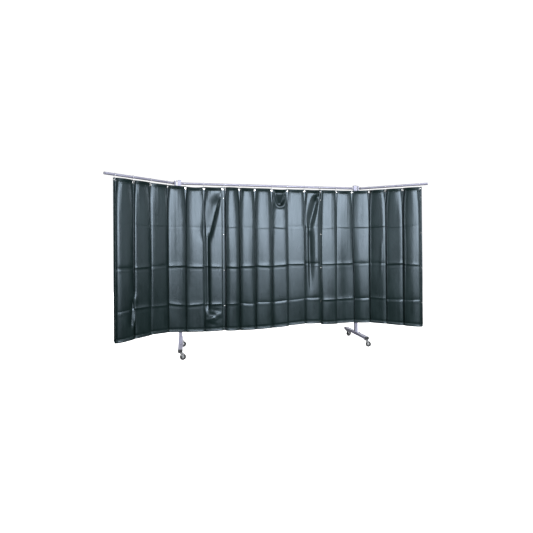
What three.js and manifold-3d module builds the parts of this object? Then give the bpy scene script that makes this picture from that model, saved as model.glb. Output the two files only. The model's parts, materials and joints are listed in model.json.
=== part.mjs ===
// A three-part welding curtain screen: a castered frame with two swinging arm rails and three hung PVC curtains.
// Millimetres, +Z up. The main rail runs along X and -Y is the side that the arms reach towards.
import * as THREE from "three";
import { mergeVertices } from "three/addons/utils/BufferGeometryUtils.js";
import Module from "manifold-3d";

const wasm = await Module();
wasm.setup();

// ---------- driving dimensions ----------
const railHeight = 1915; // main rail's axis above the floor
const uprightSpacing = 2140; // between the two uprights' axes
const armReach = 800; // hinge pin's axis to the open end of the arm rail
const armAngle = THREE.MathUtils.degToRad(36); // how far each arm stands forward of the main rail

const railDiameter = 27;
const railWall = 1.5;
const uprightSide = 35; // square tube
const uprightWall = 2;
const uprightRise = 32; // top of the upright above the rail's axis
const railEntry = 10; // how far the main rail's end goes into the upright
const sleeveLength = 200; // joining sleeve inside the two halves of the main rail
const plugDepth = 18; // how far a plastic plug goes into its tube
const plugFlange = 4;

const footLength = 574; // crossbar under each upright
const footWidth = 50;
const footHeight = 30;
const footWall = 2;
const footPlateLength = 160;
const footPlateThickness = 4;
const footBoltInset = 16; // bolt's axis from the foot plate's end
const boltDiameter = 10;
const boltHeadAcross = 17;
const boltHeadHeight = 6;

const pinOffset = 48; // hinge pin's axis outboard of the upright's axis
const pinDiameter = 10;
const bracketHeight = 60;
const bracketPlate = 4;
const bracketNose = 13; // radius of each lug around the pin
const knuckleRadius = 11;
const tongueThickness = 8;
const tongueHeight = 22;
const armRailStart = 20; // from the pin's axis to the arm rail's mouth
const spigotLength = 40;

const nutToPlug = 3.2; // swivel bolt's nut to the crossbar's end plug, inside the tube
const casterTrail = 28; // wheel's axle behind the swivel axis
const wheelDiameter = 65;
const wheelWidth = 22;
const hubProud = 1; // how far the hub stands out of the tyre on each side
const tyreToFork = 12.4; // between the tyre and the fork's head
const axleDiameter = 8;
const forkHeadDiameter = 44;
const forkHeadHeight = 9;
const stemDisc = 3; // thickness of the disc between the fork's head and the crossbar
const forkPlate = 2.5;
const kingPinDiameter = 10;
const pedalLength = 44;

const curtainTopDrop = 30; // curtain's top edge below the rail's axis
const curtainFloorGap = 245; // curtain's bottom edge above the floor
const curtainThickness = 1;
const curtainToUpright = 5.5; // between the uprights and the curtains' panels
const curtainLayerStep = 3; // between the layers of the curtain that draws open
const outerCurtainOnFrame = { left: 484, right: 466 }; // how far each runs past its upright along the main rail
const hingeSlack = 60; // loose curtain past the pin that no flat panel stands for
const curtainEdgeOnArm = 77; // outer curtain's free edge to the end of the arm rail
const eyeletDrop = 53; // eyelet's centre below the rail's axis
const edgeToEyelet = 25; // curtain's side edge to its outermost eyelet
const hookWire = 3.5;
const middleBays = [170, 184, 202, 194, 216, 197]; // hung by hand, so no two bays are quite alike

// ---------- clearances ----------
const touching = 0.3; // between faces that meet
const running = 0.3; // around a shaft, on each side
const boltClearance = 0.4; // around a bolt, on each side
const hookOverRail = 0.6;

// ---------- worked out ----------
const railRadius = railDiameter / 2;
const railBore = railRadius - railWall;
const hubWidth = wheelWidth + 2 * hubProud;
const casterHeight = wheelDiameter + tyreToFork + forkHeadHeight + stemDisc + 2 * touching;
const casterInset = plugDepth - plugFlange + boltHeadAcross / Math.sqrt(3) + nutToPlug;
const footBoltSpacing = footPlateLength - 2 * footBoltInset;
const curtainStandOff = uprightSide / 2 + curtainToUpright;
const uprightX = uprightSpacing / 2;
const pinX = uprightX + pinOffset;
const footTop = casterHeight + footHeight;
const footPlateBottom = footTop + touching;
const uprightTop = railHeight + uprightRise;
const halfFoot = footLength / 2;
const curtainTop = railHeight - curtainTopDrop;
const curtainHeight = curtainTop - curtainFloorGap;
const middleLeft = -uprightX + outerCurtainOnFrame.left + 2 * touching;
const middleRight = uprightX - outerCurtainOnFrame.right - 2 * touching;
const firstHookX = middleLeft + edgeToEyelet;
const hookSpan = middleRight - firstHookX; // the leading edge laps over the right curtain, up to its hook
const middleBaySum = middleBays.reduce((sum, bay) => sum + bay, 0);

// ---------- materials ----------
const zincTube = new THREE.MeshStandardMaterial({ color: 0x8f909f, roughness: 0.45, metalness: 0.7 });
const brightZinc = new THREE.MeshStandardMaterial({ color: 0xb9bcc0, roughness: 0.3, metalness: 0.9 });
const blackPlastic = new THREE.MeshStandardMaterial({ color: 0x17181a, roughness: 0.55, metalness: 0 });
const tyreRubber = new THREE.MeshStandardMaterial({ color: 0x121314, roughness: 0.7, metalness: 0 });
const greenPvc = new THREE.MeshStandardMaterial({ color: 0x2c4143, roughness: 0.3, metalness: 0 });

// ---------- making solids ----------
// A closed three.js geometry as a solid for cutting and joining.
function toSolid(geometry) {
  const plain = (geometry.index ? geometry.toNonIndexed() : geometry).clone();
  plain.deleteAttribute("normal");
  plain.deleteAttribute("uv");
  const merged = mergeVertices(plain, 1e-4);
  return new wasm.Manifold(
    new wasm.Mesh({
      numProp: 3,
      vertProperties: merged.attributes.position.array,
      triVerts: new Uint32Array(merged.index.array),
    }),
  );
}

// The triangles of a solid as a three.js geometry.
function toGeometry(solid) {
  const mesh = solid.getMesh();
  const geometry = new THREE.BufferGeometry();
  geometry.setAttribute("position", new THREE.BufferAttribute(mesh.vertProperties, 3));
  geometry.setIndex(new THREE.BufferAttribute(mesh.triVerts, 1));
  geometry.computeVertexNormals();
  return geometry;
}

function join(first, ...others) {
  return toGeometry(others.reduce((solid, other) => solid.add(toSolid(other)), toSolid(first)));
}

function cut(first, ...others) {
  return toGeometry(others.reduce((solid, other) => solid.subtract(toSolid(other)), toSolid(first)));
}

function piece(name, geometry, material) {
  const mesh = new THREE.Mesh(geometry, material);
  mesh.name = name;
  return mesh;
}

// An outline in X and Y, extruded upwards from z = 0.
function extrudeUp(shape, height, curveSegments = 12) {
  return new THREE.ExtrudeGeometry(shape, { depth: height, bevelEnabled: false, curveSegments });
}

function rectangle(width, depth, outline = new THREE.Shape()) {
  outline.moveTo(-width / 2, -depth / 2);
  outline.lineTo(width / 2, -depth / 2);
  outline.lineTo(width / 2, depth / 2);
  outline.lineTo(-width / 2, depth / 2);
  outline.closePath();
  return outline;
}

// A rectangular tube standing on z = 0.
function rectangularTube(width, depth, wall, length) {
  const section = rectangle(width, depth);
  section.holes.push(rectangle(width - 2 * wall, depth - 2 * wall, new THREE.Path()));
  return extrudeUp(section, length);
}

// A round profile, given as [radius, height] pairs, turned about Z.
function turned(profile, segments = 24) {
  const points = profile.map(([radius, height]) => new THREE.Vector2(radius, height));
  return new THREE.LatheGeometry(points, segments).rotateX(Math.PI / 2);
}

function rod(radius, bottom, top, segments = 24) {
  return turned([[0, bottom], [radius, bottom], [radius, top], [0, top]], segments);
}

// A round tube standing on z = 0.
function roundTube(radius, bore, length, segments = 32) {
  return turned([[bore, 0], [radius, 0], [radius, length], [bore, length], [bore, 0]], segments);
}

// Turns a shape that stands along Z so that it runs along X, from x = 0.
function alongX(geometry) {
  return geometry.rotateY(Math.PI / 2);
}

// Turns a shape that stands along Z so that it runs along Y, from y = 0.
function alongY(geometry) {
  return geometry.rotateX(-Math.PI / 2);
}

function hexagon(across, bottom, top) {
  return turned([[0, bottom], [across / Math.sqrt(3), bottom], [across / Math.sqrt(3), top], [0, top]], 6);
}

// ---------- main rail ----------
const railHalfLength = uprightX - uprightSide / 2 + railEntry - touching;

function mainRailHalf(side) {
  const length = railHalfLength - touching;
  const tube = alongX(roundTube(railRadius, railBore, length));
  const rail = piece("main_rail_" + side.name, tube, zincTube);
  rail.position.set(side.sign > 0 ? touching : -railHalfLength, 0, railHeight);
  return rail;
}

function joiningSleeve() {
  const outer = railBore - running;
  const tube = alongX(roundTube(outer, outer - 2, sleeveLength));
  const sleeve = piece("rail_joining_sleeve", tube, zincTube);
  sleeve.position.set(-sleeveLength / 2, 0, railHeight);
  return sleeve;
}

// ---------- uprights and feet ----------
// The square tube has its foot plate welded on, and a round hole in its inner wall for the main rail.
function upright(side) {
  const length = uprightTop - footPlateBottom;
  const tube = rectangularTube(uprightSide, uprightSide, uprightWall, length);
  const railHole = alongX(rod(railRadius + running, 0, uprightSide)).translate(
    side.sign > 0 ? -uprightSide : 0, 0, railHeight - footPlateBottom);
  const bored = cut(tube, railHole);
  const plate = extrudeUp(rectangle(uprightSide + 8, footPlateLength), footPlateThickness);
  const holes = [-1, 1].map((end) =>
    rod(boltDiameter / 2 + boltClearance, -1, footPlateThickness + 1).translate(
      0, (end * footBoltSpacing) / 2, 0));
  const inside = extrudeUp(
    rectangle(uprightSide - 2 * uprightWall, uprightSide - 2 * uprightWall), footPlateThickness + 2
  ).translate(0, 0, -1);
  const mesh = piece("upright_" + side.name, join(bored, cut(plate, ...holes, inside)), zincTube);
  mesh.position.z = footPlateBottom;
  return mesh;
}

function uprightCap(side) {
  const spigotSide = uprightSide - 2 * uprightWall - 2 * touching;
  const flange = extrudeUp(rectangle(uprightSide, uprightSide), plugFlange - 1).translate(0, 0, touching);
  // The spigot stops above the main rail's end.
  const spigotDepth = uprightRise - railRadius - 2;
  const spigot = extrudeUp(rectangle(spigotSide, spigotSide), spigotDepth + 1).translate(0, 0, -spigotDepth);
  const mesh = piece("upright_cap_" + side.name, join(flange, spigot), blackPlastic);
  mesh.position.z = uprightTop;
  return mesh;
}

function crossbar(side) {
  const tube = alongY(rectangularTube(footWidth, footHeight, footWall, footLength)).translate(0, -halfFoot, 0);
  const boltHoles = [-1, 1].map((end) =>
    rod(boltDiameter / 2 + boltClearance, -footHeight, footHeight).translate(
      0, (end * footBoltSpacing) / 2, 0));
  const casterHoles = [-1, 1].map((end) =>
    rod(kingPinDiameter / 2 + boltClearance, -footHeight, 0).translate(0, end * (halfFoot - casterInset), 0));
  const mesh = piece("crossbar_" + side.name, cut(tube, ...boltHoles, ...casterHoles), zincTube);
  mesh.position.z = casterHeight + footHeight / 2;
  return mesh;
}

function crossbarPlug(side, end) {
  const flange = extrudeUp(rectangle(footWidth, footHeight), plugFlange);
  const spigot = extrudeUp(
    rectangle(footWidth - 2 * footWall - 2 * touching, footHeight - 2 * footWall - 2 * touching),
    plugDepth - plugFlange
  ).translate(0, 0, -(plugDepth - plugFlange) + 0.5);
  const plug = alongY(join(flange, spigot)).translate(0, halfFoot + touching, 0);
  const mesh = piece("crossbar_plug_" + side.name + "_" + end.name, plug, blackPlastic);
  mesh.position.z = casterHeight + footHeight / 2;
  mesh.rotation.z = end.sign > 0 ? 0 : Math.PI;
  return mesh;
}

// A bolt down through the foot plate and the crossbar, with its nut underneath.
function footBolt(side, end) {
  const headBottom = footPlateBottom + footPlateThickness + touching;
  const nutTop = casterHeight - touching;
  const shank = rod(boltDiameter / 2, nutTop - boltHeadHeight - 2, headBottom + 1, 16);
  const head = hexagon(boltHeadAcross, headBottom, headBottom + boltHeadHeight);
  const nut = hexagon(boltHeadAcross, nutTop - boltHeadHeight, nutTop);
  const mesh = piece("foot_bolt_" + side.name + "_" + end.name, join(shank, head, nut), brightZinc);
  mesh.position.y = (end.sign * footBoltSpacing) / 2;
  return mesh;
}

// ---------- hinges and arms ----------
// A web against the upright's outboard face with a lug above and below the arm's knuckle.
function hingeBracket(side) {
  const webStart = uprightSide / 2 + touching;
  const web = extrudeUp(rectangle(bracketPlate, uprightSide), bracketHeight).translate(
    webStart + bracketPlate / 2, 0, -bracketHeight / 2);
  const outline = new THREE.Shape();
  outline.moveTo(webStart, -uprightSide / 2);
  outline.lineTo(pinOffset, -bracketNose);
  outline.absarc(pinOffset, 0, bracketNose, -Math.PI / 2, Math.PI / 2, false);
  outline.lineTo(webStart, uprightSide / 2);
  outline.closePath();
  const lower = extrudeUp(outline, bracketPlate).translate(0, 0, -bracketHeight / 2);
  const upper = extrudeUp(outline, bracketPlate).translate(0, 0, bracketHeight / 2 - bracketPlate);
  const bore = rod(pinDiameter / 2 + running, -bracketHeight, bracketHeight).translate(pinOffset, 0, 0);
  const mesh = piece("hinge_bracket_" + side.name, cut(join(web, lower, upper), bore), zincTube);
  mesh.position.z = railHeight;
  mesh.rotation.z = side.sign > 0 ? 0 : Math.PI;
  return mesh;
}

function hingePin(side) {
  const top = bracketHeight / 2 + touching;
  const pin = join(
    rod(pinDiameter / 2, -top - 5, top + 1, 20),
    rod(pinDiameter / 2 + 3.5, top, top + 4, 20),
    rod(pinDiameter / 2 + 2, -top - 3, -top, 20));
  const mesh = piece("hinge_pin_" + side.name, pin, brightZinc);
  mesh.position.set(side.sign * pinOffset, 0, railHeight);
  return mesh;
}

// The eye turns on the pin, and its spigot holds the arm rail. Local X runs along the arm from the pin.
function armKnuckle(side) {
  const eyeHeight = bracketHeight - 2 * bracketPlate - 2 * touching;
  const eye = rod(knuckleRadius, -eyeHeight / 2, eyeHeight / 2);
  const tongueLength = armRailStart - touching;
  const tongue = extrudeUp(rectangle(tongueLength, tongueThickness), tongueHeight).translate(
    tongueLength / 2, 0, -tongueHeight / 2);
  const spigot = alongX(rod(railBore - running, tongueLength - 2, armRailStart + spigotLength));
  const bore = rod(pinDiameter / 2 + running, -eyeHeight, eyeHeight);
  return piece("arm_knuckle_" + side.name, cut(join(eye, tongue, spigot), bore), zincTube);
}

function armRail(side) {
  const tube = alongX(roundTube(railRadius, railBore, armReach - armRailStart));
  return piece("arm_rail_" + side.name, tube.translate(armRailStart, 0, 0), zincTube);
}

function armPlug(side) {
  const plug = join(
    alongX(rod(railRadius + 0.5, touching, plugFlange)),
    alongX(rod(railBore - touching, -plugDepth, 1)));
  return piece("arm_plug_" + side.name, plug.translate(armReach, 0, 0), blackPlastic);
}

// ---------- casters ----------
const wheelAxleHeight = wheelDiameter / 2;
const stemDiscTop = casterHeight - touching;
const forkTop = stemDiscTop - stemDisc - touching;
const forkBottom = forkTop - forkHeadHeight;
const forkInside = hubWidth / 2 + touching; // from the caster's middle to the inner face of a fork leg
const pedalPivotX = casterTrail + 3;
const pedalPivotZ = wheelDiameter + 5;
const pedalPinRadius = 2;

// The swivel bolt is fixed in the crossbar: a disc below, a nut inside the tube and a king pin in the fork's head.
function casterStem(name) {
  const nutBottom = casterHeight + footWall + touching;
  const stem = join(
    rod(kingPinDiameter / 2, forkBottom + 1, nutBottom + 9, 16),
    rod(forkHeadDiameter / 2, stemDiscTop - stemDisc, stemDiscTop),
    hexagon(boltHeadAcross, nutBottom, nutBottom + 8));
  return piece("caster_stem_" + name, stem, brightZinc);
}

// Local +X is the way that the wheel trails.
function casterFork(name) {
  const legOutline = new THREE.Shape();
  const eye = 9;
  legOutline.moveTo(-13, forkTop - 2);
  legOutline.lineTo(casterTrail - eye, wheelAxleHeight);
  legOutline.absarc(casterTrail, wheelAxleHeight, eye, Math.PI, 2 * Math.PI, false);
  legOutline.lineTo(pedalPivotX + 6, pedalPivotZ);
  legOutline.lineTo(pedalPivotX + 3, pedalPivotZ + 5);
  legOutline.lineTo(18, forkTop - 2);
  legOutline.closePath();
  // The outline is drawn in X and height, then stood up so that its thickness runs along Y.
  const leg = (y) => extrudeUp(legOutline, forkPlate).rotateX(Math.PI / 2).translate(0, y + forkPlate, 0);
  const head = rod(forkHeadDiameter / 2, forkBottom, forkTop);
  const body = join(head, leg(forkInside), leg(-forkInside - forkPlate));
  const kingHole = rod(kingPinDiameter / 2 + running, forkBottom - 1, forkTop + 1);
  const axleHole = alongY(rod(axleDiameter / 2 + running, -footWidth, footWidth)).translate(
    casterTrail, 0, wheelAxleHeight);
  const pedalHole = alongY(rod(pedalPinRadius + running, -footWidth, footWidth, 12)).translate(
    pedalPivotX, 0, pedalPivotZ);
  return piece("caster_fork_" + name, cut(body, kingHole, axleHole, pedalHole), brightZinc);
}

function casterAxle(name) {
  const outside = forkInside + forkPlate + touching;
  const axle = join(
    rod(axleDiameter / 2, -outside - 1, outside + 1, 16),
    hexagon(boltHeadAcross - 4, outside, outside + 4),
    hexagon(boltHeadAcross - 4, -outside - 4, -outside));
  return piece("caster_axle_" + name, alongY(axle).translate(casterTrail, 0, wheelAxleHeight), brightZinc);
}

function casterWheel(name) {
  const bore = axleDiameter / 2 + running;
  const hubRadius = 10;
  const rimRadius = wheelDiameter / 2 - 10;
  const tyreRadius = wheelDiameter / 2;
  const corner = 4;
  const half = wheelWidth / 2;
  const side = [
    [bore, hubWidth / 2],
    [hubRadius, hubWidth / 2],
    [hubRadius + 1, half - 6],
    [rimRadius - 1, half - 6],
    [rimRadius, half],
    [tyreRadius - corner, half],
    [tyreRadius, half - corner],
  ];
  const mirrored = side.map(([radius, height]) => [radius, -height]);
  const profile = [...mirrored, ...side.reverse(), mirrored[0]];
  const wheel = alongY(turned(profile, 30)).translate(casterTrail, 0, wheelAxleHeight);
  return piece("caster_wheel_" + name, wheel, tyreRubber);
}

// A tread plate on a cross pin between the fork's legs, raised off the tyre.
function brakePedal(name) {
  const barrel = alongY(rod(4, -forkInside + touching, forkInside - touching, 16));
  const pin = alongY(rod(pedalPinRadius, -forkInside - forkPlate, forkInside + forkPlate, 12));
  const plate = extrudeUp(rectangle(pedalLength, wheelWidth), 3).translate(pedalLength / 2, 0, 0);
  const pedal = join(barrel, pin, plate.rotateY(-0.2)).translate(pedalPivotX, 0, pedalPivotZ);
  return piece("brake_pedal_" + name, pedal, brightZinc);
}

// ---------- curtains and hooks ----------
function curtainPanel(name, from, to, layer = 0, front = -1) {
  const panel = extrudeUp(rectangle(to - from, curtainThickness), curtainHeight);
  const mesh = piece(name, panel, greenPvc);
  const offset = curtainStandOff + layer * curtainLayerStep + curtainThickness / 2;
  mesh.position.set((from + to) / 2, front * offset, -curtainTopDrop - curtainHeight);
  return mesh;
}

// An open wire hook: over the rail, down behind it, and forward through the eyelet. Its plane is square to the rail.
function curtainHook(name, x) {
  const over = railRadius + hookOverRail + hookWire / 2;
  const points = [];
  for (let degrees = -40; degrees <= 220; degrees += 26) {
    const angle = THREE.MathUtils.degToRad(degrees);
    points.push(new THREE.Vector3(0, -over * Math.cos(angle), over * Math.sin(angle)));
  }
  points.push(new THREE.Vector3(0, 7, -eyeletDrop + 14));
  points.push(new THREE.Vector3(0, 5.5, -eyeletDrop + 3));
  points.push(new THREE.Vector3(0, 0, -eyeletDrop - 3.5));
  points.push(new THREE.Vector3(0, -5.5, -eyeletDrop + 2));
  points.push(new THREE.Vector3(0, -7, -eyeletDrop + 10));
  const section = new THREE.Shape();
  section.absarc(0, 0, hookWire / 2, 0, 2 * Math.PI, false);
  const wire = new THREE.ExtrudeGeometry(section, {
    steps: 26,
    curveSegments: 3,
    bevelEnabled: false,
    extrudePath: new THREE.CatmullRomCurve3(points),
  });
  const mesh = piece(name, wire, brightZinc);
  mesh.position.set(x, 0, railHeight);
  return mesh;
}

// ---------- assembly ----------
const left = { name: "left", sign: -1 };
const right = { name: "right", sign: 1 };
const front = { name: "front", sign: -1 };
const back = { name: "back", sign: 1 };

const screen = new THREE.Group();
screen.add(mainRailHalf(left), mainRailHalf(right), joiningSleeve());

// How each caster trails at rest, as if the screen was last pushed towards -X.
const casterTurn = { left_front: 6, left_back: -9, right_front: -24, right_back: 10 };

for (const side of [left, right]) {
  const post = new THREE.Group();
  post.position.x = side.sign * uprightX;
  post.add(upright(side), uprightCap(side), crossbar(side), hingeBracket(side), hingePin(side));

  for (const end of [front, back]) {
    post.add(crossbarPlug(side, end), footBolt(side, end));
    const name = side.name + "_" + end.name;
    const caster = new THREE.Group();
    caster.position.y = end.sign * (halfFoot - casterInset);
    caster.rotation.z = THREE.MathUtils.degToRad(casterTurn[name]);
    caster.add(casterStem(name), casterFork(name), casterAxle(name), casterWheel(name));
    if (end === front) caster.add(brakePedal(name));
    post.add(caster);
  }
  screen.add(post);

  // The arm's own frame starts at the hinge pin, with X along the arm rail.
  const arm = new THREE.Group();
  arm.position.set(side.sign * pinX, 0, railHeight);
  arm.rotation.z = side.sign > 0 ? -armAngle : Math.PI + armAngle;
  arm.add(armKnuckle(side), armRail(side), armPlug(side));
  arm.add(curtainPanel(side.name + "_curtain_on_arm", hingeSlack, armReach - curtainEdgeOnArm, 0, -side.sign));
  screen.add(arm);
}

// Curtain panels that hang from the main rail. The middle curtain's three panels slide in front of each other.
const hung = new THREE.Group();
hung.position.z = railHeight;
hung.add(curtainPanel("left_curtain_on_frame", -pinX, -uprightX + outerCurtainOnFrame.left));
hung.add(curtainPanel("right_curtain_on_frame", uprightX - outerCurtainOnFrame.right, pinX));
const panelWidth = (middleRight - middleLeft) / 3;
["fixed", "middle", "leading"].forEach((part, index) => {
  const from = middleLeft + index * panelWidth + touching;
  hung.add(curtainPanel("middle_curtain_" + part + "_panel", from, from + panelWidth - touching, index));
});
screen.add(hung);

// The middle curtain's hooks, which slide along the main rail.
let along = 0;
[0, ...middleBays].forEach((bay, index) => {
  along += bay;
  const x = firstHookX + (hookSpan * along) / middleBaySum;
  screen.add(curtainHook("curtain_hook_" + (index + 1), x));
});

// The part's origin is on the floor under the middle of its outline.
const part = new THREE.Group();
part.add(screen);
screen.updateMatrixWorld(true);
const outline = new THREE.Box3().setFromObject(screen, true);
screen.position.set(-(outline.min.x + outline.max.x) / 2, -(outline.min.y + outline.max.y) / 2, -outline.min.z);

export default part;
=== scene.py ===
# %% [markdown]
# A welding curtain screen, built step by step. The frame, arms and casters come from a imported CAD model.
# This script hangs the three curtains on it, adds hooks, eyelets, press studs, hems and tyres, and gives
# every part its finish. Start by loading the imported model, because every position below is read from it.

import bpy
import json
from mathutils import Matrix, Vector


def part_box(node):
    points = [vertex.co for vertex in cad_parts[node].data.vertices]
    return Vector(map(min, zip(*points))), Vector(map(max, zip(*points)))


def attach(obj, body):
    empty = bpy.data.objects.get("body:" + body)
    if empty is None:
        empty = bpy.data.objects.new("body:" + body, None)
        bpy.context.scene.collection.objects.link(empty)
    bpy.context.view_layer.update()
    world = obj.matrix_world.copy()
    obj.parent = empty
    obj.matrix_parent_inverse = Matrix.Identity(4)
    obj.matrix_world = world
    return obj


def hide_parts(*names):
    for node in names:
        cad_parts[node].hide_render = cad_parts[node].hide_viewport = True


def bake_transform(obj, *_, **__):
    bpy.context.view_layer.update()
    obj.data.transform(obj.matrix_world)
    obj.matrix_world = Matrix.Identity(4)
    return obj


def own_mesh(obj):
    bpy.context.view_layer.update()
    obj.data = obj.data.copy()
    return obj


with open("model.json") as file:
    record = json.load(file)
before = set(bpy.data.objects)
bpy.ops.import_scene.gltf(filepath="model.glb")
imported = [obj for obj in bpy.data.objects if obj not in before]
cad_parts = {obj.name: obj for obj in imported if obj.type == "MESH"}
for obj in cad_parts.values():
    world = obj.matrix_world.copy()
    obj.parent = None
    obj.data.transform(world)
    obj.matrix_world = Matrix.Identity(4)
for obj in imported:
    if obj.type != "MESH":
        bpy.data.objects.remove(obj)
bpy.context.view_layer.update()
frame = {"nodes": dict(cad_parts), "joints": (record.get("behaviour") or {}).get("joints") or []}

# %% [markdown]
# The camera stands in front of the screen's left half at breast height and looks slightly to the right,
# with a wide lens. It is made first, so that any later step can be looked at. It is almost level, so
# upright lines stay upright, and a small shift moves the view's frame down instead of a tilt.

# %% Camera
import json
import math

import bmesh
import bpy
import numpy as np
from mathutils import Matrix

camera = bpy.data.objects.new("camera", bpy.data.cameras.new("camera"))
bpy.context.scene.collection.objects.link(camera)
bpy.context.scene.camera = camera
camera.data.lens = 24.397
camera.data.sensor_width = 36
camera.data.shift_y = -0.0411
heading, tilt, roll = math.radians(-12.41), math.radians(90.276), math.radians(-0.449)
turn = Matrix.Rotation(heading, 4, "Z") @ Matrix.Rotation(tilt, 4, "X") @ Matrix.Rotation(roll, 4, "Z")
camera.matrix_world = Matrix.Translation((-0.9926, -4.0992, 1.1968)) @ turn
print("camera at", [round(x, 2) for x in camera.matrix_world.translation])

# %% [markdown]
# Everything hangs from the rails, so the main sizes are read from the CAD nodes' boxes and joints. Each arm
# has its own direction, from its hinge pin to the plug in its outer end.

# %% Sizes taken from the model
joints = {joint["name"]: joint for joint in frame["joints"]}


def unit(vectors):
    """The same directions, each at length one."""
    vectors = np.asarray(vectors, float)
    return vectors / np.linalg.norm(vectors, axis=-1, keepdims=True)


def middle_of(node):
    low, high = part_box(node)
    return (np.array(low) + np.array(high)) / 2


rail_y, rail_z = middle_of("main_rail_left")[1:]
rail_radius = (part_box("main_rail_left")[1].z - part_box("main_rail_left")[0].z) / 2
upright_x = {"left": middle_of("upright_cap_left")[0], "right": middle_of("upright_cap_right")[0]}
pin = {side: np.array(joints[side + "_arm_swing"]["pos_m"]) for side in ("left", "right")}
arm_way = {}
for side in ("left", "right"):
    reach = middle_of("arm_plug_" + side) - pin[side]
    reach[2] = 0
    arm_way[side] = unit(reach)
hook_x = [middle_of(f"curtain_hook_{number}")[0] for number in range(1, 8)]
curtain_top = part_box("middle_curtain_fixed_panel")[1].z
print("rail at", round(rail_z, 3), "arms point", [np.round(way, 3) for way in arm_way.values()])

# %% [markdown]
# A surface here is a grid of points worked out with numpy. These helpers turn such a grid, or several, into
# a mesh: the faces of a grid are every square of four neighbours, and a grid may close on itself along its
# columns.

# %% Meshes from grids of points
def grid_faces(rows, columns, closed=False):
    """Squares of four neighbours, as vertex numbers: row times columns plus column."""
    around = columns if closed else columns - 1
    row, column = np.meshgrid(np.arange(rows - 1), np.arange(around), indexing="ij")
    after = (column + 1) % columns
    here, below = row * columns, (row + 1) * columns
    return np.stack([here + column, here + after, below + after, below + column], axis=-1).reshape(-1, 4)


def mesh_object(name, points, faces, finish, uv=None, solid=False):
    """A mesh of these points and squares. A solid has its doubles merged and its faces turned outwards."""
    mesh = bpy.data.meshes.new(name)
    points = np.asarray(points, float).reshape(-1, 3)
    mesh.vertices.add(len(points))
    mesh.vertices.foreach_set("co", points.astype(np.float32).ravel())
    mesh.loops.add(faces.size)
    mesh.loops.foreach_set("vertex_index", faces.astype(np.int32).ravel())
    mesh.polygons.add(len(faces))
    mesh.polygons.foreach_set("loop_start", np.arange(0, faces.size, faces.shape[1], dtype=np.int32))
    mesh.update(calc_edges=True)
    if uv is not None:
        layer = mesh.uv_layers.new(name="flat")
        layer.data.foreach_set("uv", np.asarray(uv, np.float32).reshape(-1, 2)[faces.ravel()].ravel())
    if solid:
        work = bmesh.new()
        work.from_mesh(mesh)
        bmesh.ops.remove_doubles(work, verts=work.verts, dist=1e-6)
        bmesh.ops.recalc_face_normals(work, faces=work.faces)
        work.to_mesh(mesh)
        work.free()
    mesh.polygons.foreach_set("use_smooth", np.ones(len(mesh.polygons), bool))
    mesh.materials.append(finish)
    made = bpy.data.objects.new(name, mesh)
    bpy.context.scene.collection.objects.link(made)
    return made


def frame_of(way):
    """Two directions square to a way and to each other."""
    way = unit(way)
    helper = np.array([0.0, 0.0, 1.0]) if abs(way[2]) < 0.9 else np.array([1.0, 0.0, 0.0])
    first = unit(np.cross(helper, way))
    return first, np.cross(way, first)


def turned(profile, centre, way, sides=40):
    """Points of a profile of (radius, distance along the way) turned round an axis through the centre."""
    way = unit(way)
    first, second = frame_of(way)
    angle = np.linspace(0, 2 * np.pi, sides, endpoint=False)
    ring = np.cos(angle)[:, None] * first + np.sin(angle)[:, None] * second
    profile = np.asarray(profile, float)
    return np.asarray(centre) + profile[:, 0, None, None] * ring[None] + profile[:, 1, None, None] * way


def turned_piece(name, profile, centre, way, finish, sides=40):
    """A solid of revolution whose profile comes back to its start, or begins and ends on the axis."""
    points = turned(profile, centre, way, sides)
    return mesh_object(name, points, grid_faces(len(profile), sides, closed=True), finish, solid=True)


def rounded(corners, radius, steps=4):
    """The closed profile through these corners with each one eased: a quadratic curve from a point one
    radius before the corner to a point one radius after it, or a little less than half the side where that
    is short."""
    corners = np.asarray(corners, float)

    def towards(other):
        share = np.minimum(0.45, radius / np.linalg.norm(other - corners, axis=1))
        return corners + (other - corners) * share[:, None]

    start, end = towards(np.roll(corners, 1, axis=0)), towards(np.roll(corners, -1, axis=0))
    t = np.linspace(0, 1, steps)[None, :, None]
    path = (1 - t) ** 2 * start[:, None] + 2 * t * (1 - t) * corners[:, None] + t ** 2 * end[:, None]
    path = path.reshape(-1, 2)
    return np.vstack([path, path[:1]])


print("mesh helpers ready")

# %% [markdown]
# Finishes are node materials. Written as plain node calls they are long and hard to read, so one small
# class wraps an output and lets Python's operators add the Math nodes, and one method of a second class
# adds any other node.

# %% Shader maths as Python expressions
even = (1, 1, 1)


class Value:
    """A node's output. A sum or product of values adds the Math node for it, in whichever order it is
    written."""

    def __init__(self, finish, socket):
        self.finish, self.socket = finish, socket

    def maths(self, operation, *terms):
        return self.finish.node("ShaderNodeMath", {"operation": operation}, dict(enumerate(terms)))

    def __add__(self, other):
        return self.maths("ADD", self, other)

    def __mul__(self, other):
        return self.maths("MULTIPLY", self, other)

    __radd__, __rmul__ = __add__, __mul__


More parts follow.
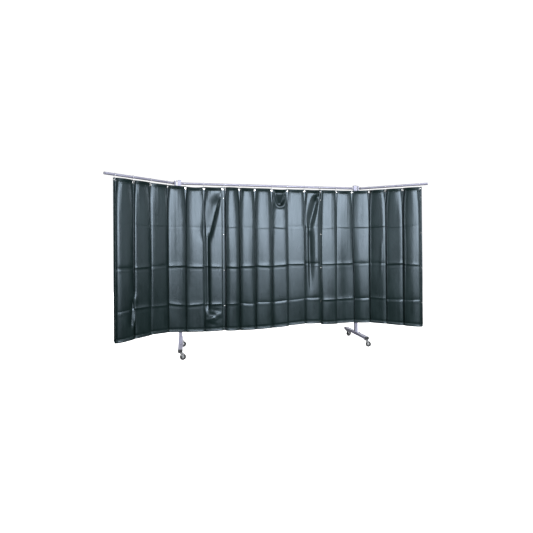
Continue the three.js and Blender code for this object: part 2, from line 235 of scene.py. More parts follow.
class Finish:
    """A Principled material. node() adds any node: its settings first, then the values or links of its
    sockets."""

    def __init__(self, name, **constants):
        self.material = bpy.data.materials.new(name)
        self.material.use_nodes = True
        self.tree = self.material.node_tree
        self.shader = next(n for n in self.tree.nodes if n.type == "BSDF_PRINCIPLED")
        for socket, value in constants.items():
            self.feed(self.shader.inputs[socket.replace("_", " ")], value)

    def feed(self, socket, value):
        if isinstance(value, Value):
            self.tree.links.new(socket, value.socket)
        else:
            socket.default_value = value

    def node(self, kind, settings=None, inputs=None, output=0):
        made = self.tree.nodes.new(kind)
        for key, value in (settings or {}).items():
            setattr(made, key, value)
        for key, value in (inputs or {}).items():
            self.feed(made.inputs[key], value)
        return Value(self, made.outputs[output])

    def noise(self, stretch, scale, detail=4.0, roughness=0.55, output="Object"):
        """Noise over object coordinates, or over the cloth's flat ones, stretched along each axis."""
        source = self.node("ShaderNodeTexCoord", output=output)
        vector = self.node("ShaderNodeMapping", {}, {"Vector": source, "Scale": stretch})
        return self.node("ShaderNodeTexNoise", {}, {"Vector": vector, "Scale": scale, "Detail": detail,
                                                    "Roughness": roughness})

    def between(self, value, low, high, to_low=0.0, to_high=1.0):
        return self.node("ShaderNodeMapRange", {}, {0: value, 1: low, 2: high, 3: to_low, 4: to_high})

    def mix(self, share, first, second):
        return self.node("ShaderNodeMix", {"data_type": "RGBA"}, {0: share, 6: first, 7: second}, output=2)

    def bump(self, height, strength, distance):
        return self.node("ShaderNodeBump", {}, {"Strength": strength, "Distance": distance, "Height": height})

    def shade(self, **sockets):
        for socket, value in sockets.items():
            self.feed(self.shader.inputs[socket.replace("_", " ")], value)
        return self.material


print("shader helpers ready")

# %% [markdown]
# The tubes are zinc-plated steel: a cool, slightly lilac grey, satin rather than bright. Drawn tube has
# fine lines along its length, and plating clouds a little and dulls where it has been handled. One function
# makes the finish for tubes that run along a given axis, so that the lines always follow the tube.

# %% Zinc-plated tube
def tube_finish(name, lines):
    """lines is the stretch of the pattern on each axis: small along the tube and large across it."""
    finish = Finish(name, Metallic=0.5, Specular_IOR_Level=0.5)
    clouds = finish.noise(even, 9.0, 5.0)
    drawn = finish.noise(lines, 1.0, 3.0)
    specks = finish.noise(even, 420.0, 2.0)
    dull = finish.between(clouds, 0.5, 0.75)
    colour = finish.mix(finish.between(clouds, 0.35, 0.7), (0.21, 0.21, 0.275, 1), (0.28, 0.28, 0.355, 1))
    colour = finish.mix(finish.between(specks, 0.66, 0.76, 0.0, 0.5), colour, (0.20, 0.20, 0.24, 1))
    roughness = 0.42 + 0.14 * dull + 0.10 * drawn
    return finish.shade(Base_Color=colour, Roughness=roughness,
                        Normal=finish.bump(drawn + 0.4 * specks, 0.18, 0.0004))


zinc_along_x = tube_finish("zinc_tube_along_x", (4, 900, 900))
zinc_along_y = tube_finish("zinc_tube_along_y", (900, 4, 900))
zinc_upright = tube_finish("zinc_tube_upright", (900, 900, 4))
zinc_welded = tube_finish("zinc_welded_plate", (160, 160, 160))
print("zinc tube finishes made")

# %% [markdown]
# Wire hooks, bolts, pins and caster forks are bright zinc: shinier and paler, with small scuffs. Plugs and
# caps are moulded plastic with a fine grain, black or grey. Tyres are dark rubber, greyer where floor dust
# has stuck, and hubs are dark grey plastic.

# %% Bright zinc, plastics and rubber
def bright_finish(name, colour, dark, roughness):
    finish = Finish(name, Metallic=1.0)
    tint = finish.noise(even, 60.0, 3.0)
    scuffs = finish.noise((60, 700, 700), 1.0, 4.0)
    return finish.shade(
        Base_Color=finish.mix(finish.between(tint, 0.4, 0.75), colour, dark),
        Roughness=roughness + 0.22 * finish.between(scuffs, 0.45, 0.7),
        Normal=finish.bump(scuffs, 0.12, 0.0003))


def moulded_finish(name, colour, worn, roughness, grain=1400.0, shine=0.45):
    finish = Finish(name, Specular_IOR_Level=shine)
    dust = finish.noise(even, 34.0, 5.0)
    grit = finish.noise(even, grain, 2.0)
    return finish.shade(
        Base_Color=finish.mix(finish.between(dust, 0.48, 0.72, 0.0, 0.6), colour, worn),
        Roughness=roughness + 0.2 * finish.between(dust, 0.4, 0.7),
        Normal=finish.bump(grit, 0.3, 0.0003))


bright_zinc = bright_finish("bright_zinc", (0.78, 0.79, 0.80, 1), (0.55, 0.56, 0.60, 1), 0.24)
nickel = bright_finish("eyelet_nickel", (0.74, 0.73, 0.72, 1), (0.58, 0.57, 0.58, 1), 0.2)
black_plastic = moulded_finish("black_plastic", (0.018, 0.019, 0.021, 1), (0.05, 0.05, 0.052, 1), 0.48)
tyre_rubber = moulded_finish("tyre_rubber", (0.006, 0.0063, 0.0066, 1), (0.018, 0.0175, 0.017, 1), 0.62,
                             grain=800.0, shine=0.2)
grey_plastic = moulded_finish("grey_plastic", (0.16, 0.16, 0.20, 1), (0.22, 0.22, 0.25, 1), 0.45)
hub_plastic = moulded_finish("hub_plastic", (0.060, 0.062, 0.066, 1), (0.10, 0.10, 0.10, 1), 0.42)
print("bright zinc, plastic and rubber made")

# %% [markdown]
# The curtains are soft PVC, dark green and glossy. The surface has a faint leather grain, fine lines down
# its length from the rollers that made it, and a haze of dust in broad patches. The pattern reads the
# cloth's own flat coordinates, in metres across and up, so that it follows every fold.

# %% Curtain PVC
def pvc_finish(name, deep, pale):
    finish = Finish(name, Specular_IOR_Level=0.5, Specular_Tint=(0.71, 0.85, 1.0, 1))
    streaks = finish.noise((150, 2.2, 1), 1.0, 4.0, 0.6, output="UV")
    broad = finish.noise((9, 3.5, 1), 1.0, 5.0, 0.55, output="UV")
    grain = finish.noise(even, 900.0, 2.0, output="UV")
    ripple = finish.noise((26, 14, 1), 1.0, 3.0, 0.5, output="UV")
    dust = finish.between(broad, 0.42, 0.78)
    colour = finish.mix(dust * 0.8, deep, pale)
    colour = finish.mix(finish.between(streaks, 0.5, 0.8, 0.0, 0.35), colour, pale)
    roughness = 0.27 + 0.07 * dust + 0.05 * finish.between(streaks, 0.35, 0.7)
    height = 0.25 * grain + 0.55 * streaks + 2.2 * ripple
    return finish.shade(Base_Color=colour, Roughness=roughness, Normal=finish.bump(height, 0.28, 0.0016))


curtain_pvc = pvc_finish("curtain_pvc", (0.0036, 0.0088, 0.0083, 1), (0.0088, 0.0172, 0.0172, 1))
hem_pvc = pvc_finish("curtain_hem_pvc", (0.0035, 0.0082, 0.0079, 1), (0.0084, 0.0162, 0.0162, 1))


def thread_finish():
    finish = Finish("stitching_thread", Roughness=0.7, Sheen_Weight=0.3)
    fuzz = finish.noise(even, 1500.0, 2.0)
    return finish.shade(Base_Color=finish.mix(fuzz, (0.03, 0.05, 0.05, 1), (0.10, 0.13, 0.13, 1)),
                        Normal=finish.bump(fuzz, 0.4, 0.0002))


thread = thread_finish()
print("curtain finishes made")

# %% [markdown]
# The CAD nodes that stay get their finish by what they are. A rail along X, a foot bar along Y and an
# upright along Z each take the tube finish whose lines run that way.

# %% Finishes for the CAD parts
finish_for = [
    ("main_rail", zinc_along_x), ("rail_joining", zinc_along_x), ("arm_rail", zinc_along_x),
    ("upright_cap", black_plastic), ("upright", zinc_upright), ("crossbar_plug", black_plastic),
    ("crossbar", zinc_along_y), ("arm_plug", grey_plastic), ("hinge_bracket", zinc_welded),
    ("arm_knuckle", zinc_welded), ("caster_wheel", tyre_rubber), ("", bright_zinc)]
for name, node in frame["nodes"].items():
    finish = next(value for start, value in finish_for if name.startswith(start))
    node.data.materials.clear()
    node.data.materials.append(curtain_pvc if "curtain_on" in name or "_panel" in name else finish)
print("finishes on", len(frame["nodes"]), "nodes")

# %% [markdown]
# The rails are long plain tubes, and the CAD ones are faceted. Each visible one is made again as a smooth
# turned tube with softened ends: the profile of its wall, carried round its axis. A black collar sits at
# the inner mouth of each arm rail.

# %% Rails and collars
rail_wall = 0.0015
arm_start, arm_end = 0.020, 0.800
collar_start, collar_end, collar_radius, collar_wall = 0.0215, 0.0305, 0.0165, 0.0028


def tube(name, start, end, outer, wall, finish):
    """A tube wall turned round the line from start to end: four corners, each rounded by a third of the
    wall."""
    start, end = np.asarray(start, float), np.asarray(end, float)
    length = np.linalg.norm(end - start)
    corners = [(outer - wall, 0), (outer, 0), (outer, length), (outer - wall, length)]
    return turned_piece(name, rounded(corners, wall / 3), start, end - start, finish, 48)


for side in ("left", "right"):
    low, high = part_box("main_rail_" + side)
    rail = tube("main_rail_tube_" + side, (low.x, rail_y, rail_z), (high.x, rail_y, rail_z), rail_radius,
                rail_wall, zinc_along_x)
    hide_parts("main_rail_" + side)
    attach(rail, "frame")
    along = arm_way[side]
    arm = tube("arm_rail_tube_" + side, pin[side] + arm_start * along, pin[side] + arm_end * along,
               rail_radius, rail_wall, zinc_along_x)
    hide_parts("arm_rail_" + side)
    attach(arm, side + "_arm")
    collar = tube("arm_collar_" + side, pin[side] + collar_start * along, pin[side] + collar_end * along,
                  collar_radius, collar_wall, black_plastic)
    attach(collar, side + "_arm")
print("rails and collars made")

# %% [markdown]
# Each caster wheel is a grey hub with a black rubber tyre moulded round it. Both are turned round the axle:
# the tyre has a crowned tread with round shoulders, and the hub has a rim, a thin web and a boss for the
# axle.

# %% Wheels
def both_sides(half, middle=()):
    """A profile that is the same on both sides of the wheel: (radius, distance from the middle) pairs."""
    return [(radius, -away) for radius, away in half] + list(middle) + half[::-1]


wheel_radius = 0.0325
tyre_profile = rounded(both_sides([(0.0228, 0.0088), (0.0262, 0.0108), (0.0300, 0.0102), (0.0322, 0.0070)],
                                  [(wheel_radius, 0.0)]), 0.0022, 5)
hub_profile = rounded(both_sides([(0.0045, 0.0118), (0.0088, 0.0118), (0.0095, 0.0055), (0.0195, 0.0048),
                                  (0.0205, 0.0092), (0.0230, 0.0092)]), 0.0008, 3)
for name in ("left_front", "left_back", "right_front", "right_back"):
    joint = joints["wheel_spin_" + name]
    tyre = turned_piece("tyre_" + name, tyre_profile, joint["pos_m"], joint["axis"], tyre_rubber, 56)
    hub = turned_piece("hub_" + name, hub_profile, joint["pos_m"], joint["axis"], hub_plastic, 56)
    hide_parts("caster_wheel_" + name)
    for piece in (tyre, hub):
        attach(piece, "wheel_" + name)
print("four wheels made")

# %% [markdown]
# A curtain is one sheet of PVC, 1.40 m wide and 1.64 m long, with an eyelet every 225 mm. The hooks stand
# closer together than that, so the sheet bows forward between each two of them. The bow is worked out, not
# simulated, because then every bay can be given the width, lean and sag that it really has. The rule is
# that the line across the sheet keeps its length: a bay takes 225 mm of sheet, whatever its hooks'
# distance.

# %% The bow of one bay
sheet_width, sheet_length = 1.400, 1.640
edge_width, pitch = 0.025, 0.225
top_hem, side_hem = 0.040, 0.030
eyelet_drop = 0.053
eyelet_down = curtain_top - (rail_z - eyelet_drop)
eyelet_u = edge_width + pitch * np.arange(7)


def bow(chord, length, lean, fullness, samples=72, halvings=34):
    """One bay's line, row by row: distance along the chord and depth in front of it.
    depth = peak * t^a * (1 - t)^b / top, with a = fullness * e^lean and b = fullness * e^-lean
    The peak is found by halving an interval until the line is as long as the sheet in the bay."""
    t = 0.5 - 0.5 * np.cos(np.linspace(0, np.pi, samples))
    a, b = (fullness * np.exp(lean))[:, None], (fullness * np.exp(-lean))[:, None]
    top = (a / (a + b)) ** a * (b / (a + b)) ** b
    shape = t ** a * (1 - t) ** b / top
    along = chord[:, None] * t
    low, high = np.zeros(len(chord)), length / 2
    for _ in range(halvings):
        peak = (low + high) / 2
        steps = np.hypot(np.diff(along, axis=1), np.diff(peak[:, None] * shape, axis=1)).sum(axis=1)
        low, high = np.where(steps < length, peak, low), np.where(steps < length, high, peak)
    return along, peak[:, None] * shape


depth = bow(np.array([0.194]), np.array([0.225]), np.zeros(1), np.full(1, 0.8))[1].max()
print("a bay 194 mm wide stands", round(1000 * depth), "mm forward")

# %% [markdown]
# The whole sheet is a grid: columns across its flat width and rows down its flat length. An even grid would
# need to be very fine to bend sharply, so the columns crowd together at the eyelets, where the cloth turns
# back between two bays, and the rows at the hems and at the creases it was packed in.

# %% Rows and columns of the sheet
packing_creases = (0.458, 0.905, 1.335)
even_rows, bay_columns, crowding = 112, 33, 0.10


def smooth(x):
    """From 0 to 1 with level ends: 3x^2 - 2x^3."""
    x = np.clip(x, 0, 1)
    return x * x * (3 - 2 * x)


def sheet_rows():
    steps = (-0.010, -0.005, -0.002, 0, 0.002, 0.005, 0.010)
    spread = [line + step for line in packing_creases for step in steps]
    low = sheet_length - side_hem
    extra = [0.004, 0.012, top_hem - 0.002, top_hem + 0.002, low - 0.004, low, low + 0.004]
    return np.unique(np.round(np.concatenate([np.linspace(0, sheet_length, even_rows), spread, extra]), 4))


def sheet_columns():
    share = np.linspace(0, 1, bay_columns)
    share = share - crowding * np.sin(2 * np.pi * share)
    inner = np.concatenate([eyelet_u[i] + pitch * share for i in range(6)])
    edges = [0, 0.008, 0.016, sheet_width - 0.016, sheet_width - 0.008, sheet_width]
    return np.unique(np.round(np.concatenate([inner, edges]), 5))


print(len(sheet_rows()), "rows of", len(sheet_columns()), "points")

# %% [markdown]
# Every curtain is made the same way, so one class holds a sheet's flat places and its points in space. Each
# row is a line in plan through the hooks, bay after bay, and the columns are spread along it at their flat
# distances. The top edge sags between hooks, and the length below it is taken up unevenly. Folds are added
# later by pushing the points square to the surface, which keeps them apart from the hanging itself.
# Fittings find their place by asking for the point and the normal at a flat place.

# %% The curtain's surface
class Curtain:
    """A hung sheet. eyelets are seven points in plan, and ends the ways that its two edges point. Every bay
    has a lean and a sag, and every eyelet a height of the bottom edge below it, in millimetres. A drift
    moves an eyelet's line sideways further down."""

    bays = 6

    def __init__(self, seed, eyelets, ends, lean, bottom, sag, drift=None):
        self.u, self.v = sheet_columns(), sheet_rows()
        pitches = np.clip((self.u - edge_width) / pitch, 0, self.bays - 0.0001)
        self.bay = np.floor(pitches).astype(int)
        self.within = pitches - self.bay
        line = self.lines_in_plan(np.random.default_rng(seed), eyelets, ends, lean, drift)
        self.points = np.empty((len(self.v), len(self.u), 3))
        self.points[..., :2] = self.spread_along(line)
        self.points[..., 2] = self.heights(np.array(bottom) / 1000, np.array(sag) / 1000)

    def lines_in_plan(self, rng, eyelets, ends, lean, drift):
        """Each row's line in plan: edge, then bay after bay with a short flat at each eyelet, then edge. A
        bay whose hooks are too far apart for its cloth is pulled nearly straight."""
        rows, down = len(self.v), self.v / sheet_length
        near, tightest = 0.001, 0.9965
        flat = 0.0035 + 0.0095 * (1 - smooth((self.v - 0.02) / 0.16))
        eyelets = np.asarray(eyelets, float)
        corner = np.repeat(eyelets[:, None, :], rows, axis=1)
        if drift is not None:
            corner = corner + np.asarray(drift)[:, None, :] * smooth(down * 1.3)[None, :, None]
        edge_ways = unit(ends)
        line = [corner[0] + edge_width * edge_ways[0], corner[0] + near * edge_ways[0]]
        for bay in range(self.bays):
            start, end = corner[bay], corner[bay + 1]
            way = unit(end - start)
            front = np.stack([way[:, 1], -way[:, 0]], axis=1)
            chord = np.linalg.norm(end - start, axis=1) - 2 * flat
            length = np.full(rows, pitch) - 2 * flat
            chord = np.minimum(chord, tightest * length)
            wave = 0.25 * np.sin(2.2 * down * np.pi + rng.uniform(0, 6)) * down
            fullness = 0.25 + 0.15 * smooth(1 - down * 4) + 0.05 * rng.uniform(-1, 1)
            along, forward = bow(chord, length, lean[bay] + wave, fullness * np.ones(rows))
            place = start[:, None] + (flat[:, None] + along)[..., None] * way[:, None]
            line.append(place + forward[..., None] * front[:, None])
        line += [corner[-1] + near * edge_ways[1], corner[-1] + edge_width * edge_ways[1]]
        return np.concatenate([part[:, None] if part.ndim == 2 else part for part in line], axis=1)

    def spread_along(self, line):
        """The sheet's columns, in plan, at their flat distances along each row's line."""
        steps = np.linalg.norm(np.diff(line, axis=1), axis=2)
        run = np.concatenate([np.zeros((len(line), 1)), np.cumsum(steps, axis=1)], axis=1)
        run *= sheet_width / run[:, -1:]
        plan = [[np.interp(self.u, run[r], line[r, :, k]) for k in (0, 1)] for r in range(len(line))]
        return np.stack(plan).transpose(0, 2, 1)

    def heights(self, bottom, sag):
        """Heights from the top edge, which sags in each bay, to the bottom line through its given heights."""
        droop = sag[self.bay] * 4 * self.within * (1 - self.within)
        droop = np.where((self.u > edge_width) & (self.u < sheet_width - edge_width), droop, 0)
        hem = np.interp(self.u, [0, *eyelet_u, sheet_width], [bottom[0], *bottom, bottom[-1]])
        top_line = curtain_top - droop[None] * np.exp(-self.v / 0.30)[:, None]
        stretch = (curtain_top - hem) / sheet_length
        return top_line - self.v[:, None] * stretch[None]

    def face(self, power=1.0):
        """0 at the eyelets' lines and 1 in the middle of each bay."""
        return (4 * self.within * (1 - self.within))[None] ** power

    def normals(self):
        """Square to the surface: the step down crossed with the step across, which points to the front."""
        across, down = np.gradient(self.points, axis=1), np.gradient(self.points, axis=0)
        return unit(np.cross(down, across))

    def push(self, height):
        """Moves every point by a height, in metres, square to the surface."""
        self.points = self.points + height[..., None] * self.normals()

    def at(self, u, v, lift=0.0):
        """Points on the sheet at flat places (u, v), raised by lift, and the normals there."""
        u, v = np.broadcast_arrays(np.asarray(u, float), np.asarray(v, float))
        column = np.clip(np.searchsorted(self.u, u) - 1, 0, len(self.u) - 2)
        row = np.clip(np.searchsorted(self.v, v) - 1, 0, len(self.v) - 2)
        across = ((u - self.u[column]) / (self.u[column + 1] - self.u[column]))[..., None]
        down = ((v - self.v[row]) / (self.v[row + 1] - self.v[row]))[..., None]

        def blend(field):
            upper = (field[row, column] * (1 - across) * (1 - down)
                     + field[row, column + 1] * across * (1 - down))
            return (upper + field[row + 1, column] * (1 - across) * down
                    + field[row + 1, column + 1] * across * down)

        normal = unit(blend(self.normals()))
        return blend(self.points) + lift * normal, normal


print("curtain class ready, for sheets of", sheet_width, "by", sheet_length, "m")

# %% [markdown]
# Folds are heights on the flat sheet, worked out for all points at once. A simulation would give truer
# ones, but not in chosen places. The plainest is a ridge: it runs along a line between two flat places and
# falls away on both sides, and with a negative height it is a valley.

# %% Ridges
def ridge(curtain, start, end, width, height, taper=0.5, grow=0.0):
    """Height of a fold: height * e^(-(distance/width)^2) along the line from start to end, in metres on the
    flat sheet. Two widths, for the left and the right side, make one flank steeper, and both grow along the
    line by the given share. The fold fades towards its ends, over half its length times the taper, which
    may also be two numbers, for the start and the end."""
    u, v = np.meshgrid(curtain.u, curtain.v)
    du, dv = end[0] - start[0], end[1] - start[1]
    length = math.hypot(du, dv)
    along = ((u - start[0]) * du + (v - start[1]) * dv) / length ** 2
    away = ((u - start[0]) * dv - (v - start[1]) * du) / length
    enter, leave = np.broadcast_to(taper, 2)
    fade = smooth((along + 0.02) / (0.5 * enter)) * smooth((1.02 - along) / (0.5 * leave))
    left, right = np.broadcast_to(width, 2)
    reach = np.where(away < 0, left, right) * (1 + grow * np.clip(along, 0, 1))
    return height * np.exp(-(away / reach) ** 2) * fade


print("ridges ready")

# %% [markdown]
# The curtains were packed folded, and three creases across each of them have stayed. A crease is the same
# kink for every bay, though each bay takes it at a slightly other height and strength. Its peak is sharp,
# so it catches the light as a thin line, and a shallow hollow below it leaves a dark one.

# %% Packing creases
crease_height, crease_width = 0.0052, 0.016
hollow_depth, hollow_below, hollow_width = 0.0030, 0.020, 0.012


def creases(curtain, seed):
    """Sharp kinks across the sheet at the packing creases: height * e^(-|distance|/width). Each bay has its
    own place, strength and slope, and some bays kink backwards."""
    rng = np.random.default_rng(seed)
    total = np.zeros((len(curtain.v), len(curtain.u)))
    for line, size in zip(packing_creases, (0.45, 1.0, 0.9)):
        shift = rng.uniform(-0.006, 0.006, 7)[curtain.bay]
        power = rng.uniform(0.55, 1.25, 7) * np.where(rng.uniform(0, 1, 7) < 0.4, -0.8, 1) * size
        slope = rng.uniform(-0.018, 0.018, 7)[curtain.bay] * (curtain.within - 0.5)
        distance = curtain.v[:, None] - (line + shift + slope)[None]
        kink = crease_height * np.exp(-np.abs(distance) / crease_width)
        kink -= hollow_depth * np.exp(-((distance - hollow_below) / hollow_width) ** 2)
        total += power[curtain.bay][None] * curtain.face(0.5) * kink
    return total


print("creases at", packing_creases, "m down")

# %% [markdown]
# No bay hangs perfectly smooth. Slow waves make each a little uneven, and thin upright lines run down from
# the top edge. Both are sums of sines with random lengths and starts, which is enough at this size. Noise
# would do as well, but a sine has no grain finer than the grid.

# %% Billows and fine pleats
def billows(curtain, seed, size):
    """Slow unevenness of the bays: a sum of waves with random lengths and starts, none at the eyelets."""
    rng = np.random.default_rng(seed)
    u, v = np.meshgrid(curtain.u, curtain.v)
    total = np.zeros_like(u)
    for _ in range(14):
        across, down = rng.uniform(4, 26), rng.uniform(0.6, 5)
        weight, side, start = rng.uniform(0.4, 1), rng.choice([-1, 1]), rng.uniform(0, 6.28)
        total += weight * np.sin(across * u + down * v * side + start)
    return size * total / 3.0 * curtain.face(0.7) * smooth(v / 0.12)


def fine_pleats(curtain, seed, size):
    """Thin upright lines, strongest just below the top edge and at the bottom hem."""
    rng = np.random.default_rng(seed)
    u, v = np.meshgrid(curtain.u, curtain.v)
    total = np.zeros_like(u)
    for _ in range(10):
        total += np.sin(rng.uniform(90, 240) * u + rng.uniform(-1.4, 1.4) * v + rng.uniform(0, 6.28))
    where = 0.35 + 0.65 * np.exp(-v / 0.35) + 0.5 * smooth((v - 1.35) / 0.2)
    return size * total / 3.2 * where * smooth(v / 0.05)


print("billows and pleats ready")

# %% [markdown]
# Two things need more than ridges. Where a fold ends at the bottom the cloth is crumpled in a patch of
# short sharp creases. And in one bay the top edge has slumped, which leaves a hollow like a pocket with a
# round lower lip.

# %% Crumples and the pocket
def crumple(curtain, centre, reach, size, seed):
    """A patch of short sharp folds round a centre: the sum of nine ridges e^(-|distance|/width) with random
    places, slopes and signs, fading away from the centre."""
    rng = np.random.default_rng(seed)
    u, v = np.meshgrid(curtain.u, curtain.v)
    total = np.zeros_like(u)
    for _ in range(9):
        angle = rng.uniform(-0.5, 0.5)
        shift = rng.uniform(-1, 1, 2) * reach * 0.7
        away = (u - centre[0] - shift[0]) * math.sin(angle) + (v - centre[1] - shift[1]) * math.cos(angle)
        total += rng.choice([-1, 1]) * np.exp(-np.abs(away) / (0.10 * reach + 0.004))
    near = np.exp(-(((u - centre[0]) / (0.75 * reach)) ** 2 + ((v - centre[1]) / reach) ** 2) ** 1.5)
    return size * total / 2.5 * near


def pocket(curtain, centre, half_width, depth_down, back):
    """The hollow under a slumped stretch of the top edge. Its lower edge is the curve
    down = depth_down * (1 - off^3), where off is the distance from the centre in half widths.
    The sheet inside goes back the further it is below the top, and comes forward again over a raised lip.
    The height over the curve is divided by the curve's steepness, which makes it a distance, so that the
    lip is as wide at the sides as below."""
    soft, lip_height, lip_below, lip_width = 0.020, 0.010, 0.010, 0.013
    u, v = np.meshgrid(curtain.u, curtain.v)
    off = np.abs((u - centre) / half_width)
    inside = (depth_down * (1 - off ** 3) - v) / np.hypot(1, 3 * depth_down * off ** 2 / half_width)
    hollow = smooth(inside / soft + 0.2) * (0.10 + 0.90 * np.clip(v / depth_down, 0, 1))
    lip = np.exp(-((inside + lip_below) / lip_width) ** 2) * smooth(1.3 - off)
    return -back * hollow + lip_height * lip


print("crumples and the pocket ready")

# %% [markdown]
# The doubled cloth of a hem is stiffer than the rest. The bottom one kicks forward and catches the light as
# a pale band, with a dark groove where the single cloth begins. The top one leans over between the hooks.
# Both heights depend on the distance down, and the top one's also on the place in the bay.

# %% Hems that lean and kick
kick_slope, groove_depth, groove_width = 0.36, 0.0034, 0.006
lean_slope, dip_depth, dip_below, dip_width = 0.34, 0.0016, 0.001, 0.005


def hem_shape(curtain):
    """Height of the bottom hem's kick and groove, and of the top hem's lean and the dip below it."""
    v = curtain.v[:, None] * np.ones(len(curtain.u))
    low = v - (sheet_length - side_hem)
    kick = np.where(low > 0, kick_slope * low, 0) - groove_depth * np.exp(-(low / groove_width) ** 2)
    dip = dip_depth * np.exp(-((v - top_hem - dip_below) / dip_width) ** 2)
    lean = lean_slope * np.clip(top_hem - v, 0, None) - dip
    return kick + lean * curtain.face()


print("hems", top_hem, "and", side_hem, "m wide")

# %% [markdown]
# Where the hooks are: four on each arm, three on the frame beside it, and the middle curtain's seven where
# the model has them. Places on an arm are distances in metres from its hinge pin, and places on the frame
# are distances from the upright. The two curtains at a junction hang on neighbouring hooks, so one edge is
# moved in front of the other.

# %% Hooks in plan
def turned_way(way, degrees):
    """A plan direction turned anticlockwise."""
    cosine, sine = math.cos(math.radians(degrees)), math.sin(math.radians(degrees))
    return np.array([cosine * way[0] - sine * way[1], sine * way[0] + cosine * way[1]])


arm_places = {"left": [0.698, 0.507, 0.312, 0.105], "right": [0.134, 0.331, 0.526, 0.715]}
frame_places = {"left": [0.063, 0.269, 0.481], "right": [0.452, 0.252, 0.041]}
on_arm = {side: [pin[side] + far * arm_way[side] for far in arm_places[side]] for side in arm_places}
on_frame = {
    "left": [np.array([upright_x["left"] + x, rail_y, rail_z]) for x in frame_places["left"]],
    "right": [np.array([upright_x["right"] - x, rail_y, rail_z]) for x in frame_places["right"]]}
plan_left = np.array(on_arm["left"] + on_frame["left"])[:, :2]
plan_right = np.array(on_frame["right"] + on_arm["right"])[:, :2]
plan_middle = np.array([[x, rail_y] for x in hook_x])
outer_forward, middle_back = 0.004, 0.002
plan_left[-1, 1] -= outer_forward
plan_right[0, 1] -= outer_forward
plan_middle[0, 1] += middle_back
free_edge_curl = 25
left_free_edge = turned_way(arm_way["left"][:2], free_edge_curl)
right_free_edge = turned_way(arm_way["right"][:2], -free_edge_curl)
print("hooks on the left arm at", arm_places["left"], "m from its pin")

# %% [markdown]
# The three curtains differ in their bays. Each gets its own lean for every bay, its own sags and bottom
# line in millimetres, and the folds that make it itself: a long slanting fold beside the left junction with
# a crumple at its foot, a slumped pocket in the middle curtain's fourth bay, and a slanting fold in its
# last bay that turns straight down. The places are metres across and down the flat sheet.

# %% Three curtains
left_sheet = Curtain(
    11, plan_left, [left_free_edge, (1, 0)], lean=[-0.15, -0.2, 0.45, -0.2, -0.3, -0.2],
    bottom=[258, 268, 272, 262, 240, 230, 232], sag=[4, 5, 6, 6, 15, 8])
middle_sheet = Curtain(
    23, plan_middle, [(-1, 0.15), (1, 0.25)], lean=[-0.35, -0.25, -0.1, 0.1, 0.25, 0.3],
    bottom=[236, 226, 224, 230, 246, 258, 256], sag=[5, 7, 5, 16, 6, 9])
right_sheet = Curtain(
    37, plan_right, [(-1, -0.55), right_free_edge], lean=[0.45, 0.4, -0.1, -0.1, -0.15, -0.1],
    bottom=[238, 236, 240, 246, 244, 240, 238], sag=[5, 5, 4, 5, 5, 5],
    drift=[(0, 0), (0, 0), (0.015, -0.006), (0, 0), (0, 0), (0, 0), (0, 0)])

sheets = {"left": left_sheet, "middle": middle_sheet, "right": right_sheet}
for number, sheet in enumerate(sheets.values()):
    sheet.push(hem_shape(sheet) + billows(sheet, 50 + number, 0.0030)
               + fine_pleats(sheet, 60 + number, 0.0005))

left_sheet.push(
    ridge(left_sheet, (1.348, 0.05), (1.188, 0.66), (0.085, 0.020), -0.033, 0.6, 0.4)
    + ridge(left_sheet, (1.196, 0.52), (1.198, 1.44), (0.030, 0.018), -0.026, 0.3)
    + ridge(left_sheet, (0.262, 1.16), (0.222, 1.52), (0.012, 0.030), 0.020)
    + ridge(left_sheet, (0.232, 1.20), (0.196, 1.54), (0.026, 0.012), -0.016)
    + crumple(left_sheet, (1.265, 1.47), 0.100, 0.016, 5))
middle_sheet.push(
    pocket(middle_sheet, 0.812, 0.084, 0.200, 0.070)
    + ridge(middle_sheet, (1.344, 0.03), (1.216, 0.50), (0.060, 0.022), -0.042, 0.6, 0.2)
    + ridge(middle_sheet, (1.218, 0.38), (1.222, 1.36), (0.018, 0.048), -0.042, (0.5, 1.4)))
right_sheet.push(
    ridge(right_sheet, (0.030, 0.40), (0.035, 1.30), 0.012, 0.004)
    + ridge(right_sheet, (0.860, 0.60), (0.850, 1.10), 0.010, 0.004))
for number, sheet in enumerate(sheets.values()):
    sheet.push(creases(sheet, 70 + number))
print("three sheets of", left_sheet.points.shape, "points")

# %% [markdown]
# Each sheet becomes a mesh with a little thickness. The outer curtains cross a hinge, over the bay that spans
# the upright, but their meshes are only baked in place and ride on no body. The middle one, which is drawn
# along the rail on the real screen, rides on the frame as it hangs.

# %% Cloth pieces on the frame or baked in place
cloth_thickness, hem_thickness, hem_behind = 0.0007, 0.0006, 0.0011


def cloth(name, points, faces, finish, uv, thickness):
    """A soft surface whose thickness is laid evenly on both sides."""
    made = mesh_object(name, points, faces, finish, uv)
    skin = made.modifiers.new("thickness", "SOLIDIFY")
    skin.thickness, skin.offset = thickness, 0
    return made


def follow(piece, part):
    """Puts a soft piece of the middle curtain on the frame with a mesh of its own, and bakes the placement of
    a piece of the left or right curtain into its mesh.
    """
    if part == "middle":
        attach(piece, "frame")
        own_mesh(piece)
        return piece
    hinge_bay = {"left": (plan_left[4], plan_left[3]), "right": (plan_right[2], plan_right[3])}[part]
    start, end = [(*place, rail_z) for place in hinge_bay]
    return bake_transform(piece, "frame", part + "_arm", start=start, end=end)


for part, sheet in sheets.items():
    flat_places = np.stack(np.meshgrid(sheet.u, sheet_length - sheet.v), axis=-1)
    faces = grid_faces(*sheet.points.shape[:2])[:, ::-1]
    follow(cloth(part + "_curtain", sheet.points, faces, curtain_pvc, flat_places,
                                  cloth_thickness), part)
for side in ("left", "right"):
    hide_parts(side + "_curtain_on_arm", side + "_curtain_on_frame")
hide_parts("middle_curtain_fixed_panel", "middle_curtain_middle_panel",
            "middle_curtain_leading_panel")

